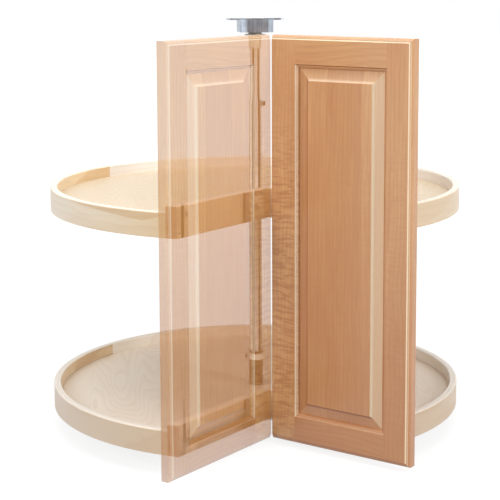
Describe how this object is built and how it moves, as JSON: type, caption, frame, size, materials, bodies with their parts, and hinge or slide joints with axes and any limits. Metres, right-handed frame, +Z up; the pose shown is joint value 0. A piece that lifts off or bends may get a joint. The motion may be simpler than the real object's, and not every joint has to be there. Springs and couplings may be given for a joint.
{
  "type": "corner carousel cabinet fitting",
  "caption": "Pie-cut revolving corner shelves on a telescoping steel shaft, with raised-panel wooden doors closing the notch.",
  "frame": {"origin": "on the shaft's axis at the underside of the floor plate", "axes": "+Z up along the shaft, -Y out through the middle of the notch between the doors, +X to the right seen from the front"},
  "size_m": [0.711, 0.7086, 0.705],
  "materials": {
    "door_maple": "satin lacquer",
    "board_maple": "satin lacquer",
    "birch_strip": "satin lacquer",
    "birch_plywood": "satin lacquer",
    "black_nylon": "moulded",
    "white_nylon": "moulded",
    "grey_nylon": "moulded",
    "tube_steel": "satin",
    "zinc_steel": "zinc plated",
    "pin_steel": "turned",
    "dark_steel": "black oxide",
    "screw_steel": "zinc plated"
  },
  "bodies": {
    "floor_mount": {"floor_plate": "zinc_steel", "floor_pivot": "pin_steel", "bearing_base": "white_nylon"},
    "carousel": {"tube_foot": "white_nylon", "outer_tube": "tube_steel", "clamp_nut": "zinc_steel", "lower_hub": "black_nylon", "upper_hub": "black_nylon", "lower_hub_screws": "screw_steel", "upper_hub_screws": "screw_steel", "hub_set_screws": "dark_steel", "hub_collar": "white_nylon", "collar_screw": "dark_steel", "retaining_ring": "dark_steel", "lower_floor": "birch_plywood", "lower_rim_left": "birch_strip", "lower_rim_back": "birch_strip", "lower_rim_right": "birch_strip", "lower_left_board": "board_maple", "lower_right_board": "board_maple", "lower_brads": "screw_steel", "upper_floor": "birch_plywood", "upper_rim_left": "birch_strip", "upper_rim_back": "birch_strip", "upper_rim_right": "birch_strip", "upper_left_board": "board_maple", "upper_right_board": "board_maple", "upper_brads": "screw_steel", "left_inner_stile": "door_maple", "left_outer_stile": "door_maple", "left_top_rail": "door_maple", "left_bottom_rail": "door_maple", "left_panel": "door_maple", "right_inner_stile": "door_maple", "right_outer_stile": "door_maple", "right_top_rail": "door_maple", "right_bottom_rail": "door_maple", "right_panel": "door_maple", "left_door_screws": "screw_steel", "right_door_screws": "screw_steel"},
    "clamp": {"clamp_screw": "dark_steel"},
    "upper_shaft": {"inner_tube": "tube_steel", "tube_ferrule": "grey_nylon", "top_pivot": "pin_steel", "pivot_clip": "dark_steel"},
    "top_mount": {"top_bracket": "zinc_steel", "bearing_block": "black_nylon", "top_bush": "white_nylon"}
  },
  "joints": [
    {"name": "carousel_turn", "type": "hinge", "parent": "floor_mount", "child": "carousel", "pos_m": [0, 0, 0.009], "axis": [0, 0, 1], "continuous": true},
    {"name": "clamp_turn", "type": "hinge", "parent": "carousel", "child": "clamp", "pos_m": [0, 0, 0.557], "axis": [1, 0, 0], "range_deg": [-360, 0]},
    {"name": "shaft_extend", "type": "slide", "parent": "carousel", "child": "upper_shaft", "axis": [0, 0, 1], "range_m": [-0.016, 0.07]},
    {"name": "top_turn", "type": "hinge", "parent": "upper_shaft", "child": "top_mount", "pos_m": [0, 0, 0.68], "axis": [0, 0, 1], "continuous": true}
  ],
  "couplings": [
    {"joint": "top_turn", "follows": "carousel_turn", "ratio": -1}
  ]
}
